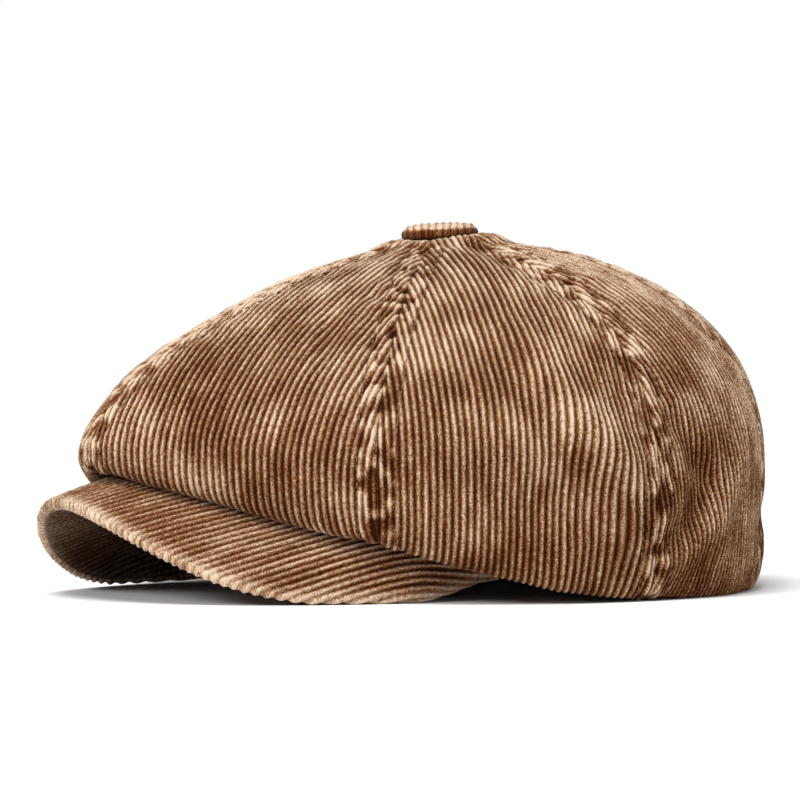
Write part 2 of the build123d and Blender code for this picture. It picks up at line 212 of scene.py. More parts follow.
def dome_point(angle, share):
    """(r, z) of the crown from its top (share 0) to its waist (1)."""
    power, turn, waist = dome_power(angle), share * pi / 2, waist_height(angle)
    r = crown_radius(angle) * np.sin(turn) ** (2 / power)
    z = waist + (CROWN_HEIGHT - waist) * np.clip(np.cos(turn), 0, 1) ** (2 / power)
    return r, z


def roll_point(angle, share):
    """(r, z) of the crown's fold from its waist (0) to its lowest line (1)."""
    turn, roll, waist = share * pi / 2, hem_roll(angle), waist_height(angle)
    r = crown_radius(angle) - roll + roll * np.clip(np.cos(turn), 0, 1) ** (2 / HEM_ROLL_POWER)
    z = waist - (waist - hem_height(angle)) * np.sin(turn) ** (2 / HEM_ROLL_POWER)
    return r, z


def dome_start(angle, radius):
    return np.arcsin((radius / crown_radius(angle)) ** (dome_power(angle) / 2)) / (pi / 2)


def place(angle, r, z):
    """Points (..., 3) in the part's frame."""
    angle, r, z = np.broadcast_arrays(angle, r, z)
    return np.stack([r * np.sin(angle), AXIS_Y - r * np.cos(angle), z], axis=-1)


# -- grids of cloth --

def along(points, axis):
    """Distance covered along an axis of a grid of points, from its first."""
    steps = np.linalg.norm(np.diff(points, axis=axis), axis=-1)
    pad = [(0, 0), (0, 0)]
    pad[axis] = (1, 0)
    return np.pad(np.cumsum(steps, axis=axis), pad)


def line_length(points):
    """Distance covered along a line of points, from its first."""
    steps = np.linalg.norm(np.diff(points, axis=0), axis=1)
    return np.concatenate([[0], np.cumsum(steps)])


def unit_steps(r, z):
    """Direction, as unit (r, z), of the lines in the columns of r and z."""
    step_r, step_z = np.gradient(r, axis=0), np.gradient(z, axis=0)
    length = np.hypot(step_r, step_z)
    return step_r / length, step_z / length


def smooth_rows(values, times):
    """Evens out neighbouring rows in place, leaving the first and last."""
    for _ in range(times):
        values[1:-1] = (values[:-2] + 2 * values[1:-1] + values[2:]) / 4


def even_rows(r, z, count):
    """The lines in the columns of r and z, redone with evenly spaced points."""
    rows = np.linspace(0, 1, count)
    made_r, made_z = np.empty((count, r.shape[1])), np.empty((count, r.shape[1]))
    length = along(np.stack([r, z], axis=-1), 0)
    for j in range(r.shape[1]):
        share = length[:, j] / length[-1, j]
        made_r[:, j] = np.interp(rows, share, r[:, j])
        made_z[:, j] = np.interp(rows, share, z[:, j])
    return made_r, made_z


def normals_of(points):
    """Unit normals of a grid, on the side that the order of its rows gives."""
    down, across = np.gradient(points, axis=0), np.gradient(points, axis=1)
    normals = np.cross(down, across)
    normals /= np.linalg.norm(normals, axis=-1, keepdims=True) + 1e-12
    return normals


def outward(points, normals):
    """Turns a grid of normals to face out of the cap, judged at one point."""
    i, j = points.shape[0] // 3, points.shape[1] // 2
    return normals if normals[i, j] @ (points[i, j] - INSIDE) > 0 else -normals


def add_object(name, data):
    made = bpy.data.objects.new(name, data)
    bpy.context.scene.collection.objects.link(made)
    return made


def new_object(name, vertices, faces):
    mesh = bpy.data.meshes.new(name)
    mesh.from_pydata(vertices, [], faces)
    mesh.shade_smooth()
    return add_object(name, mesh)


def thinned(grid):
    """The rows and columns of a grid that the hidden face has too."""
    return grid[::COARSER, ::COARSER]


def shell(name, outer, inner, values, uv):
    """A closed piece of cloth between two grids of points.

    inner has a point for each 4th (COARSER) point of outer. values are grids of
    numbers for the material, and uv is the cloth's own flat coordinates."""
    rows, columns = outer.shape[:2]
    ids = np.arange(rows * columns).reshape(rows, columns)
    low = ids.size + np.arange(inner.shape[0] * inner.shape[1]).reshape(inner.shape[:2])
    a, b = rows // 2, columns // 2
    down, across = outer[a + 1, b] - outer[a, b], outer[a, b + 1] - outer[a, b]
    facing_out = np.cross(down, across) @ (outer[a, b] - inner[a // COARSER, b // COARSER]) > 0

    quads = [ids[:-1, :-1], ids[1:, :-1], ids[1:, 1:], ids[:-1, 1:]]
    faces = np.stack(quads, axis=-1).reshape(-1, 4).tolist()
    quads = [low[:-1, :-1], low[:-1, 1:], low[1:, 1:], low[1:, :-1]]
    faces += np.stack(quads, axis=-1).reshape(-1, 4).tolist()
    for top, bottom in ((ids[0], low[0]), (ids[::-1, 0], low[::-1, 0]),
                        (ids[-1, ::-1], low[-1, ::-1]), (ids[:, -1], low[:, -1])):
        for k in range(len(bottom) - 1):
            edge = top[k * COARSER:(k + 1) * COARSER + 1].tolist()
            faces.append(edge + [int(bottom[k + 1]), int(bottom[k])])
    if not facing_out:
        faces = [face[::-1] for face in faces]

    points = np.concatenate([outer.reshape(-1, 3), inner.reshape(-1, 3)]) * MM
    made = new_object(name, points.tolist(), faces)
    both = {key: np.concatenate([grid.ravel(), thinned(grid).ravel()])
            for key, grid in values.items()}
    flat = np.stack(uv, axis=-1)
    flat = np.concatenate([flat.reshape(-1, 2), thinned(flat).reshape(-1, 2)])
    clothe(made, both, flat)
    return made


def clothe(made, values, flat):
    """Gives a mesh its per-vertex numbers and the cloth's flat coordinates, in decimetres."""
    mesh = made.data
    for key, numbers in values.items():
        attribute = mesh.attributes.new(key, "FLOAT", "POINT")
        attribute.data.foreach_set("value", np.ascontiguousarray(numbers, np.float32))
    loops = np.empty(len(mesh.loops), np.int32)
    mesh.loops.foreach_get("vertex_index", loops)
    layer = mesh.uv_layers.new(name="cloth")
    layer.data.foreach_set("uv", (flat[loops] * MM * 10).astype(np.float32).ravel())


# -- wales --

def wale(lateral):
    """Height of the ribs, 0 in a groove and 1 on a rib, over the lateral distance."""
    return (0.5 + 0.5 * np.cos(2 * pi * lateral / WALE_PITCH)) ** WALE_FULLNESS


def wander(lateral, run, key):
    """How far the ribs stray sideways. Each piece of cloth has its own key."""
    slow = 0.55 * noise(lateral / 34 + key, run / 38)
    return slow + 0.16 * noise(lateral / 7 + key * 3, run / 11)


# -- crown panels --

def on_crown(angle_degrees, height):
    """The point of the crown at that angle and height."""
    angle = radians(angle_degrees)
    waist = float(waist_height(angle))
    if height >= waist:
        rise = min((height - waist) / (CROWN_HEIGHT - waist), 1.0)
        turn = np.arccos(rise ** (dome_power(angle) / 2))
        r, _ = dome_point(angle, turn / (pi / 2))
    else:
        fall = min((waist - height) / (waist - float(hem_height(angle))), 1.0)
        turn = np.arcsin(fall ** (HEM_ROLL_POWER / 2))
        r, _ = roll_point(angle, turn / (pi / 2))
    return place(angle, float(r), height)


def beside_line(points, corners):
    """Signed distance of each point to a line on the crown, and its share along the line."""
    best = np.full(points.shape[:-1], 1e9)
    share, side = np.zeros(points.shape[:-1]), np.ones(points.shape[:-1])
    for k in range(len(corners) - 1):
        start, step = corners[k], corners[k + 1] - corners[k]
        away = start - INSIDE
        t = np.clip((points - start) @ step / (step @ step), 0, 1)
        offset = points - start - t[..., None] * step
        distance = np.linalg.norm(offset, axis=-1)
        closer = distance < best
        best = np.where(closer, distance, best)
        share = np.where(closer, (k + t) / (len(corners) - 1), share)
        side = np.where(closer, np.where(offset @ np.cross(step, away) > 0, 1.0, -1.0), side)
    return best * side, share


# Folds of the wearer's left side: corners as (degrees, height), how far aside a fold
# has sunk to a third, its height (below 0 for a hollow), and how far sideways the ribs
# are dragged at its last corner.
FOLDS = [
    ([(71, 110), (76, 86), (82, 66), (90, 48), (95, 34)], 8.0, 3.4, -9.0),
    ([(62, 104), (68, 82), (75, 60), (83, 42)], 7.0, -2.2, 0.0),
    ([(98, 76), (107, 45), (103, 30), (95, 14)], 6.5, -4.4, -4.0),
    ([(122, 62), (114, 43), (110, 27), (113, 12)], 9.0, 3.2, 0.0),
    ([(90, 4), (97, 11), (103, 18), (108, 28)], 6.0, 2.4, 0.0),
    ([(112, 119), (126, 103), (136, 91), (139, 78)], 7.0, -4.0, 3.0),
    ([(104, 124), (117, 112), (128, 97), (132, 84)], 7.0, 2.2, 0.0),
    ([(84, 136), (88, 130), (90, 118), (99, 106)], 6.0, -1.8, 2.0),
    ([(29, 111), (31, 98), (32, 84)], 5.0, -1.5, 1.0),
    ([(56, 47), (68, 38), (82, 40)], 9.0, -1.6, 0.0),
    ([(75, 4), (78, 17), (82, 30)], 6.0, 1.5, 0.0),
    ([(7, 78), (12, 64), (17, 50)], 7.0, -1.3, 0.5),
    ([(128, 22), (140, 30), (152, 26)], 9.0, -2.4, 0.0),
    ([(150, 90), (158, 70), (160, 50)], 9.0, 2.0, -2.0),
]
MIRRORED_BY = 0.94  # the right side's folds lie at this share of the left's angles
DRAG_REACH = 3  # the drag reaches this many times as far out as the fold


def folded(points):
    """How far folds lift the cloth, and how far they drag its ribs.

    A fold fades at both ends. Its drag grows from nothing at the first corner."""
    lift, drag = np.zeros(points.shape[:-1]), np.zeros(points.shape[:-1])
    for side in (1.0, -MIRRORED_BY):
        for corners, width, height, shift in FOLDS:
            line = [on_crown(side * degrees, z) for degrees, z in corners]
            distance, share = beside_line(points, line)
            fade = np.sin(pi * np.clip(share, 0.03, 0.97)) ** 0.6
            near = bell(distance, width) * fade
            lift += height * near
            drag += shift * np.sign(side) * share * bell(distance, DRAG_REACH * width)
    return lift, drag


def crown_grid(start, end, columns):
    """Angles and points of a gore, from the button down and in to the head opening."""
    angle = np.linspace(start, end, columns)[None, :]
    share = np.linspace(0, 1, CROWN_STEPS)[:, None]
    first = dome_start(angle, CENTRE_HOLE_RADIUS)
    dome_r, dome_z = dome_point(angle, between(first, 1, share))
    roll_r, roll_z = roll_point(angle, share[1:])
    r = np.concatenate([dome_r, roll_r])
    z = np.concatenate([dome_z, roll_z])
    r, z = even_rows(r, z, CROWN_ROWS)
    tuck = np.linspace(0, 1, TUCK_ROWS + 1)[1:, None]
    tuck_r = between(crown_radius(angle) - hem_roll(angle), band_radius(angle), tuck)
    tuck_z = between(hem_height(angle), band_height(angle), tuck)
    r, z = np.concatenate([r, tuck_r]), np.concatenate([z, tuck_z])
    sink = HEM_PRESS * ease(HEM_PRESS_START, HEM_PRESS_FULL, np.abs(angle))
    z = np.clip(z - sink * (1 - ease(0, HEM_PRESS_REACH, z)), 0, None)
    return np.broadcast_to(angle, r.shape), place(angle, r, z)


# Puckers, waves and grooves beside a seam.
STRIP_END, STRIP_FULL = 9.0, 6.8  # the puckered strip fades out between these
STRIP_HEIGHT, PUCKER_HEIGHT, PUCKER_CONTRAST = 0.2, 0.55, 1.9
WAVE_HEIGHT, WAVE_DISTANCE, WAVE_WIDTH = 0.9, 12.0, 4.0
SEAM_DEPTH, SEAM_WIDTH = 0.9, 1.2
STITCH_DEPTH, STITCH_WIDTH = 0.5, 0.8
VALLEY_DEPTH, VALLEY_WIDTH = 1.0, 13.0  # the whole gore sinks a little towards its seams


def seam_relief(offset, run, key):
    """Height of the cloth at a signed distance beside a seam, and its tone: part rubbed pile, part
    painted light and shade.
    """
    distance = np.abs(offset)
    strip = ease(STRIP_END, STRIP_FULL, distance)
    cells = noise(run / 3.8 + key * 7, offset / 5.0 + key * 3)
    cells += 0.7 * noise(run / 6.0 + key, offset / 1.5 + key * 2)
    pinch = np.tanh(PUCKER_CONTRAST * cells)
    wave = noise(run / 8.5 + key * 5, np.sign(offset) * 0.4)
    height = strip * (STRIP_HEIGHT + PUCKER_HEIGHT * pinch)
    height += WAVE_HEIGHT * wave * bell(distance - WAVE_DISTANCE, WAVE_WIDTH)
    stitched = STITCH_DEPTH * bell(distance - TOPSTITCH_OFFSET, STITCH_WIDTH)
    height -= SEAM_DEPTH * bell(distance, SEAM_WIDTH) + stitched
    height -= VALLEY_DEPTH * bell(distance, VALLEY_WIDTH)
    # paler pucker crests and darker pucker hollows, part worn pile and part painted highlight and
    # painted shade, with painted shade in the seam's groove
    wear_and_painted_light = strip * (0.75 * pinch + 0.03) - 0.4 * bell(distance, 0.8)
    # painted shade in the sunk groove of the topstitched row
    wear_and_painted_light -= 0.35 * bell(distance - TOPSTITCH_OFFSET, 0.7)
    return height, wear_and_painted_light


# The ring of gathered cloth round the button, fuller towards the rear sides.
RING_RADIUS, RING_WIDTH, RING_HEIGHT, RING_REAR_HEIGHT = 21.0, 6.5, 1.8, 1.9
RING_REAR_ANGLE, RING_REAR_SPREAD = radians(125), radians(60)


def button_ring(points, angle):
    """How far the cloth swells round the button."""
    rear = bell(np.abs(angle) - RING_REAR_ANGLE, RING_REAR_SPREAD)
    reach = np.hypot(points[..., 0], points[..., 1] - AXIS_Y)
    return (RING_HEIGHT + RING_REAR_HEIGHT * rear) * bell(reach - RING_RADIUS, RING_WIDTH)


def patches_with_painted_light(arc, run, strayed, height):
    """Random pale and dark patches of the crown, paler towards its top as painted light and darker
    at its hem as painted shade.
    """
    patches = 0.42 * noise(arc / 20 + 50, run / 15) + 0.34 * noise(strayed / 2.3 + 20, run / 8)
    # painted light on the upper crown and painted shade at its hem
    return patches + (0.30 * ease(70, 125, height) - 0.50 * ease(48, 8, height))


LOWEST_LIFT = -4.0  # folds and puckers never sink further than this
OUTER_LOW, INNER_LOW = 0.05, 0.5  # least heights of a gore's outer and inner face


def crown_panel(name, start, end):
    """One gore of the crown, its surface and the lines beside its seams."""
    wales = CROWN_RADIUS * abs(end - start) / WALE_PITCH
    columns = 1 + COARSER * int(round(wales * POINTS_PER_WALE / COARSER))
    angle, base = crown_grid(start, end, columns)
    run, lateral = along(base, 0), along(base, 1)
    lateral = lateral - lateral[:, columns // 2][:, None]
    out = outward(base, normals_of(base))
    from_start, to_end = lateral - lateral[:, :1], lateral[:, -1:] - lateral
    turn = 1.0 if end > start else -1.0
    offset = np.where(lateral < 0, from_start, -to_end) * turn
    seam = np.where(lateral < 0, round(np.degrees(start)) % 360, round(np.degrees(end)) % 360)
    relief, wear_and_painted_light = seam_relief(offset, run, seam / 7.0)
    arc = angle * CROWN_RADIUS
    folds, drag = folded(base)
    broad = 0.8 * noise(arc / 46 + 3, run / 52) + 0.35 * noise(arc / 19, run / 23 + 9)
    top_fade = ease(4, 30, run)
    tuck = ease(0, 12, run - run[CROWN_ROWS - 1])
    key = (start + end) * 2.3
    strayed = lateral + drag * turn + wander(lateral, run, key) * ease(0, 30, run)
    ridge = wale(strayed)
    lift = np.clip((relief + folds + broad) * top_fade * (1 - tuck), LOWEST_LIFT, None)
    lift += button_ring(base, angle)
    pile = 0.10 * noise(lateral / 0.9, run / 1.7 + key)
    ribs = (pile - WALE_DEPTH * (1 - ridge)) * ease(0, 14, run)
    outer = base + out * (lift + ribs)[..., None]
    inner = thinned(base + out * (np.minimum(lift, 0) - CROWN_CLOTH)[..., None])
    outer[..., 2] = np.clip(outer[..., 2], OUTER_LOW, None)
    inner[..., 2] = np.clip(inner[..., 2], INNER_LOW, None)
    # painted light on the folds' crests and painted shade in their hollows, taken from the fold
    # heights
    wear_and_painted_light = wear_and_painted_light * top_fade + 0.10 * folds + patches_with_painted_light(arc, run, strayed, base[..., 2])
    # painted shade on the hem tucked in under the crown
    values = {"ridge": ridge, "wear_and_painted_light": wear_and_painted_light * (1 - tuck) - 0.5 * tuck}
    made = shell(name, outer, inner, values, (lateral + 300 * key, run))
    lines = [(outer[:CROWN_ROWS], out[:CROWN_ROWS], distance[:CROWN_ROWS])
             for distance in (from_start, to_end)]
    return made, base, lines


# -- topstitching --

STITCHED_WIDTH = 3.4 * TOPSTITCH_OFFSET  # where a gore is narrower, it has no stitches
STITCH_RISE = 0.25  # of a stitch's ends, and again of its middle
FIRST_STITCH, LAST_STITCH = 3.0, 1.0  # from a path's ends, at least


def stitch_template():
    """One stitch along X, from -1 to 1, with a unit radius: points and faces."""
    stations, sides = [-1.0, -0.9, -0.55, 0.0, 0.55, 0.9, 1.0], 6
    points, faces = [], []
    for x in stations:
        radius = max(0.05, (1 - x ** 4) ** 0.5)
        for k in range(sides):
            turn = 2 * pi * k / sides
            points.append((x, radius * cos(turn), radius * sin(turn)))
    for i in range(len(stations) - 1):
        for k in range(sides):
            a, b = i * sides + k, i * sides + (k + 1) % sides
            faces.append((a, b, b + sides, a + sides))
    faces.append(tuple(range(sides))[::-1])
    faces.append(tuple(range((len(stations) - 1) * sides, len(stations) * sides)))
    return np.array(points), faces


def seam_path(surface, out, distance):
    """Points and normals of a stitched line beside a seam."""
    points, normals = [], []
    for i in range(surface.shape[0]):
        if distance[i].max() < STITCHED_WIDTH:
            continue
        order = np.argsort(distance[i])
        j = np.interp(TOPSTITCH_OFFSET, distance[i][order], order)
        low, part = int(j), j - int(j)
        high = min(low + 1, surface.shape[1] - 1)
        points.append(between(surface[i, low], surface[i, high], part))
        normals.append(out[i, low])
    return np.array(points), np.array(normals)


def at_length(place, length, values):
    return np.array([np.interp(place, length, values[:, k]) for k in range(3)])


def stitches(name, paths):
    """A row of stitches along each path, as one piece."""
    template, template_faces = stitch_template()
    vertices, faces = [], []
    for points, normals in paths:
        kernel = np.ones(5) / 5
        smooth = np.stack([np.convolve(np.pad(points[:, k], 2, "edge"), kernel, "valid")
                           for k in range(3)], axis=1)
        length = line_length(smooth)
        pitch = STITCH_LENGTH + STITCH_GAP
        for at in np.arange(FIRST_STITCH, length[-1] - LAST_STITCH, pitch):
            half = STITCH_LENGTH / 2
            ends = [at_length(at + d, length, smooth) for d in (-half, half)]
            up = at_length(at, length, normals)
            forward = (ends[1] - ends[0]) / 2
            reach = np.linalg.norm(forward)
            side = np.cross(up, forward / reach)
            side /= np.linalg.norm(side)
            up = np.cross(forward / reach, side)
            centre = (ends[0] + ends[1]) / 2 + up * STITCH_RISE
            rise = STITCH_RISE * (1 - template[:, 0] ** 2)
            body = (centre + template[:, :1] * forward + template[:, 1:2] * THREAD_RADIUS * side
                    + (template[:, 2:] * THREAD_RADIUS + rise[:, None]) * up)
            first = len(vertices)
            vertices.extend((body * MM).tolist())
            faces.extend(tuple(first + k for k in face) for face in template_faces)
    return new_object(name, vertices, faces)


def panel_names():
    """Name, first and last angle of each of the eight gores."""
    places = ["front", "front_side", "rear_side", "rear"]
    for side, sign in (("left", 1), ("right", -1)):
        for spot, start, end in zip(places, SEAM_ANGLES, SEAM_ANGLES[1:]):
            yield f"{spot}_{side}", sign * radians(start), sign * radians(end)


# -- peak --

def peak_top(angle, share):
    """(r, z) of the peak's upper face from its inner edge (0) to its outer line (1)."""
    start_r = band_radius(angle) + PEAK_INSET
    end_r, end_z = peak_radius(angle), peak_edge_height(angle)
    hem_r = crown_radius(angle) - hem_roll(angle)
    slope = BAND_RISE / (hem_r - band_radius(angle))
    aside = ease(0, PEAK_BEND_TURN, np.abs(angle))
    bend_r = between(start_r, end_r, between(PEAK_BEND_FRONT, PEAK_BEND_SIDE, aside))
    top_z = band_height(angle) - PEAK_CLEARANCE
    start_z = top_z - slope * PEAK_INSET
    bend_z = top_z - slope * (bend_r - band_radius(angle))
    short = end_r < hem_r + PEAK_SHORT_REACH
    bend_z = np.where(short, np.minimum(bend_z, start_z), bend_z)
    r = start_r * (1 - share) ** 2 + 2 * bend_r * share * (1 - share) + end_r * share ** 2
    z = start_z * (1 - share) ** 2 + 2 * bend_z * share * (1 - share) + end_z * share ** 2
    return r, z


def peak_frame(angle, count):
    """The upper face of the peak as (r, z), and its downward normal in each plane."""
    r, z = peak_top(angle, np.linspace(0, 1, PEAK_STEPS)[:, None])
    r, z = even_rows(r, z, count)
    step_r, step_z = unit_steps(r, z)
    return r, z, step_z, -step_r


def across_peak(base, out):
    """Distance across the peak's ribs, which run front to back, from its middle."""
    forward = np.array([0.0, 1.0, 0.0])
    grain = forward - (out @ forward)[..., None] * out
    grain /= np.linalg.norm(grain, axis=-1, keepdims=True)
    across = np.cross(grain, out)
    across *= np.sign(across[..., :1])
    edge = np.sum((across[0, 1:] + across[0, :-1]) / 2 * np.diff(base[0], axis=0), axis=-1)
    edge = np.concatenate([[0], np.cumsum(edge)])
    steps = np.sum((across[1:] + across[:-1]) / 2 * np.diff(base, axis=0), axis=-1)
    outwards = np.concatenate([np.zeros((1, base.shape[1])), np.cumsum(steps, axis=0)])
    return edge[None, :] - edge[len(edge) // 2] + outwards


PEAK_CLOTH_SHARE = 0.75  # a cover is modelled with this share of its cloth's thickness


def peak_piece(name, rows, columns, depth_top, thickness, is_top):
    """A cover of the peak, its outer face depth_top below the peak's upper side.

    The top cover also turns down round the peak's outer edge."""
    angle = np.linspace(-PEAK_END_ANGLE, PEAK_END_ANGLE, columns)[None, :]
    r, z, down_r, down_z = peak_frame(angle, rows)
    r, z = r + down_r * depth_top, z + down_z * depth_top
    flat_part = place(angle, r, z)
    lateral = across_peak(flat_part, normals_of(flat_part))
    if is_top:
        turn = np.linspace(0, pi, NOSE_ROWS + 1)[1:, None]
        ahead_r, ahead_z = -down_z[-1:], down_r[-1:]
        bend = PEAK_THICKNESS / 2
        nose_r = r[-1:] + down_r[-1:] * bend * (1 - np.cos(turn)) + ahead_r * bend * np.sin(turn)
        nose_z = z[-1:] + down_z[-1:] * bend * (1 - np.cos(turn)) + ahead_z * bend * np.sin(turn)
        nose_lateral = lateral[-1:] + bend * turn * np.sin(angle)
        r, z = np.concatenate([r, nose_r]), np.concatenate([z, nose_z])
        lateral = np.concatenate([lateral, nose_lateral])
    base = place(angle, r, z)
    out = normals_of(base)
    if (out[rows // 2, columns // 2][2] > 0) != is_top:
        out = -out
    run = along(base, 0)
    ridge = wale(lateral + wander(lateral, base[..., 1] + 200, 5.0 + thickness))
    bulge = 0.3 * noise(base[..., 0] / 26, base[..., 1] / 30)
    pile = 0.08 * noise(lateral / 0.9, base[..., 1] / 1.7)
    outer = base + out * (bulge + pile - WALE_DEPTH * (1 - ridge))[..., None]
    inner = thinned(base - out * (PEAK_CLOTH_SHARE * thickness))
    outer[..., 2] = np.clip(outer[..., 2], 0, None)
    rim = ease(-5, 1, run - run[rows - 1])
    patches = 0.32 * noise(base[..., 0] / 19 + 5, base[..., 1] / 19)
    patches += 0.34 * noise(lateral / 2.6 + 8, base[..., 1] / 10)
    values = {"ridge": between(ridge, 0.55 + 0.45 * ridge, rim), "wear_and_painted_light": 0.42 * rim + patches}
    made = shell(name, outer, inner, values, (lateral + 900, base[..., 1]))
    return made, base


# -- lining and head opening --

def lining_grid(start, end):
    """The lining's outer face from the crown's top down to the sewn line."""
    angle = np.linspace(start, end, LINING_COLUMNS)[None, :]
    band, low = band_radius(angle), band_height(angle)
    flare_z = low + LINING_FLARE_SHARE * SWEATBAND_HEIGHT
    power, waist = dome_power(angle), waist_height(angle)
    rise = np.clip((flare_z + 2 * LINING_DEPTH - waist) / (CROWN_HEIGHT - waist), 0, 1)
    last = np.minimum(LINING_DOME_SHARE, np.arccos(rise ** (power / 2)) / (pi / 2))
    first = dome_start(angle, LINING_CENTRE_RADIUS)
    r, z = dome_point(angle, between(first, last, np.linspace(0, 1, LINING_STEPS)[:, None]))
    step_r, step_z = unit_steps(r, z)
    r, z = r + step_z * LINING_DEPTH, z - step_r * LINING_DEPTH
    beside = np.array([[LINING_FLARE, LINING_STANDOFF, LINING_STANDOFF, LINING_STANDOFF]]).T
    heights = np.array([[LINING_FLARE_SHARE, 0.6, 0.35, 0.1]]).T * SWEATBAND_HEIGHT
    r, z = np.concatenate([r, band + beside]), np.concatenate([z, low + heights])
    r, z = even_rows(r, z, LINING_ROWS)
    smooth_rows(r, 3)
    smooth_rows(z, 3)
    return place(angle, r, z)


def lining_gore(name, start, end):
    """One gore of the lining, puckered beside its seams, and its outer face."""
    base = lining_grid(start, end)
    run, lateral = along(base, 0), along(base, 1)
    out = outward(base, normals_of(base))
    to_seam = np.minimum(lateral, lateral[:, -1:] - lateral)
    calm = ease(0, 12, run) * ease(0, 10, run[-1:] - run)
    soft = 0.5 * noise(lateral / 17 + start * 3, run / 33)
    soft = soft + 0.25 * noise(lateral / 9, run / 6 + end)
    pucker = 0.45 * noise(run / 4 + start * 9, to_seam / 9) * bell(to_seam - 3, 4)
    lift = (0.7 + soft + pucker - 0.9 * bell(to_seam, 1.2)) * calm
    face = base - out * (LINING_THICKNESS + np.clip(lift, 0, 1.6))[..., None]
    # paler where the lining bulges as painted light, darker along its seams as painted shade
    wear_and_painted_light = soft - 0.6 * bell(to_seam, 1.0)
    made = shell("lining_" + name, face, thinned(base), {"wear_and_painted_light": wear_and_painted_light}, (lateral, run))
    return made, base


def band_strip(name, start, end, inset, lift, height, thickness, columns, relief):
    """A strip round the head opening, its face to the head shaped by relief(lateral, upward)."""
    angle = np.linspace(start, end, columns)[None, :]
    upward = np.linspace(0, 1, STRIP_ROWS)[:, None] * height
    base = place(angle, band_radius(angle) - inset, band_height(angle) + lift + upward)
    out = outward(base, normals_of(base))
    lateral, run = along(base, 1), along(base, 0)
    rounded = 0.6 * (ease(1.2, 0, run) + ease(height - 1.2, height, run))
    raised = relief(lateral, run)
    face = base - out * (thickness - rounded + raised)[..., None]
    # the relief is painted too: paler where the face stands out, darker in the sunk stitch lines
    # and between gathers, as painted light and shade
    made = shell(name, face, thinned(base), {"wear_and_painted_light": raised}, (lateral, run))
    return made, base, face, -out


BAND_STITCH_INSET, BAND_STITCH_WIDTH = 2.5, 0.8
GATHER_PITCH = 4.4


def stitched_edges(upward):
    """1 on the two lines where the band is sewn, near its lower and upper edge."""
    lower = bell(upward - BAND_STITCH_INSET, BAND_STITCH_WIDTH)
    return lower + bell(upward - SWEATBAND_HEIGHT + BAND_STITCH_INSET, BAND_STITCH_WIDTH)


def sweatband_relief(lateral, upward):
    """Soft unevenness, drawn in along the stitches."""
    return 0.35 * noise(lateral / 24, upward / 18) - 0.5 * stitched_edges(upward)


def gathers(lateral, upward):
    """Upright gathers, flatter along the stitches."""
    phase = lateral / GATHER_PITCH + 0.35 * noise(lateral / 7, upward / 9)
    return (0.55 + 0.5 * np.cos(2 * pi * phase)) * (1 - 0.7 * stitched_edges(upward))


def no_relief(lateral, upward):
    return 0.0 * lateral


# -- button --

BUTTON_PROFILE = [
    (0.0, 1.0), (0.1, 1.0), (0.5, 0.97), (0.74, 0.90), (0.86, 0.82),
    (0.95, 0.64), (0.985, 0.45), (1.0, 0.25), (0.985, 0.08), (0.96, 0.0),
]  # shares of its radius and height, from the crest to the foot
BUTTON_TURN_IN = [(13.9, -1.0), (12.2, -0.9), (12.0, -0.3), (12.6, 0.0)]  # (r, z)
# the button's side is darkened between these heights as painted shade
BUTTON_WALL_TOP, BUTTON_WALL_FULL = 3.9, 2.3  # heights between which its side darkens
BUTTON_WALE_DEPTH = 0.4
RIBS_PAST_FOOT, RIBS_FADE = 1.5, 2.0  # the ribs end this far below the foot, over this length


def button_profile(radius, height):
    """(r, z) over a low dome from its crest down to its foot."""
    return [(radius * r, height * z) for r, z in BUTTON_PROFILE]


def button_line():
    """(r, z) of the button's cloth over the dome, under its rim and back inside.

    Also the length along it, and that at the dome's foot."""
    over = button_profile(BUTTON_RADIUS, BUTTON_HEIGHT)
    inside = button_profile(BUTTON_RADIUS - BUTTON_CLOTH, BUTTON_HEIGHT - BUTTON_CLOTH)[::-1]
    line = np.array(over + BUTTON_TURN_IN + inside)
    length = line_length(line)
    places = np.linspace(0, length[-1], BUTTON_ROWS)
    r, z = np.interp(places, length, line[:, 0]), np.interp(places, length, line[:, 1])
    smooth_rows(r, 2)
    smooth_rows(z, 2)
    return r[1:-1, None], z[1:-1, None], places[1:-1, None], length[len(over) - 1]


def on_button(r, z, turn):
    """Points round the button's axis, in the part's frame."""
    joint = JOINTS["button_spin"]
    axis, ahead = np.array(joint["axis"]), np.array([1.0, 0.0, 0.0])
    side = np.cross(axis, [1.0, 0.0, 0.0])
    centre = np.array(joint["pos_m"]) / MM
    height = np.broadcast_to(z, np.broadcast_shapes(r.shape, turn.shape))
    return (centre + (r * np.cos(turn))[..., None] * ahead
            + (r * np.sin(turn))[..., None] * side + height[..., None] * axis)


